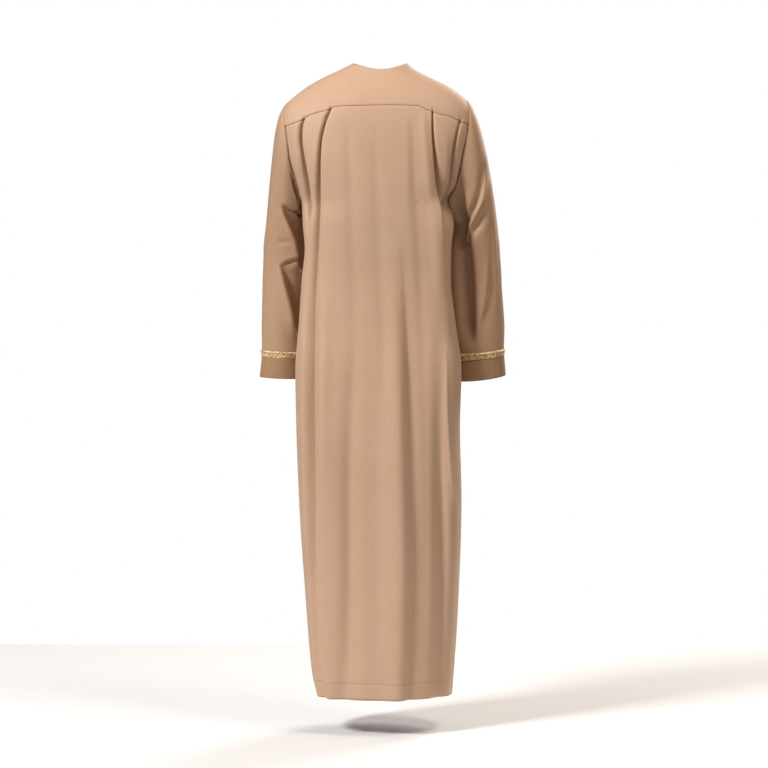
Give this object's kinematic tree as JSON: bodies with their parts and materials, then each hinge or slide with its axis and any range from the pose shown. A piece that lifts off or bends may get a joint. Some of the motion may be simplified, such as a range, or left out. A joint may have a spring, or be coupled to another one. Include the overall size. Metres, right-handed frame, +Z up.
{
  "type": "thobe robe",
  "caption": "Ankle-length long-sleeved robe of plain tan cloth, hollow in its worn shape, with gold braid round the cuffs and a buttoned slit at the front.",
  "frame": {"origin": "middle of the neck opening, level with its two highest points", "axes": "+Z up from the hem to the neck, +Y ahead of the wearer, so the back faces -Y; +X to the wearer's right"},
  "size_m": [0.5822, 0.2864, 1.476],
  "materials": {
    "cloth": "smooth woven cloth with a faint sheen",
    "braid": "gold braid",
    "button": "satin"
  },
  "bodies": {
    "root": {"back_panel": "cloth", "yoke": "cloth", "front_panel": "cloth", "front_placket": "cloth", "sleeve_left": "cloth", "sleeve_right": "cloth", "cuff_left": "cloth", "cuff_right": "cloth", "braid_left": "braid", "braid_right": "braid", "button_1": "button", "button_2": "button", "button_3": "button", "button_4": "button"}
  },
  "joints": []
}
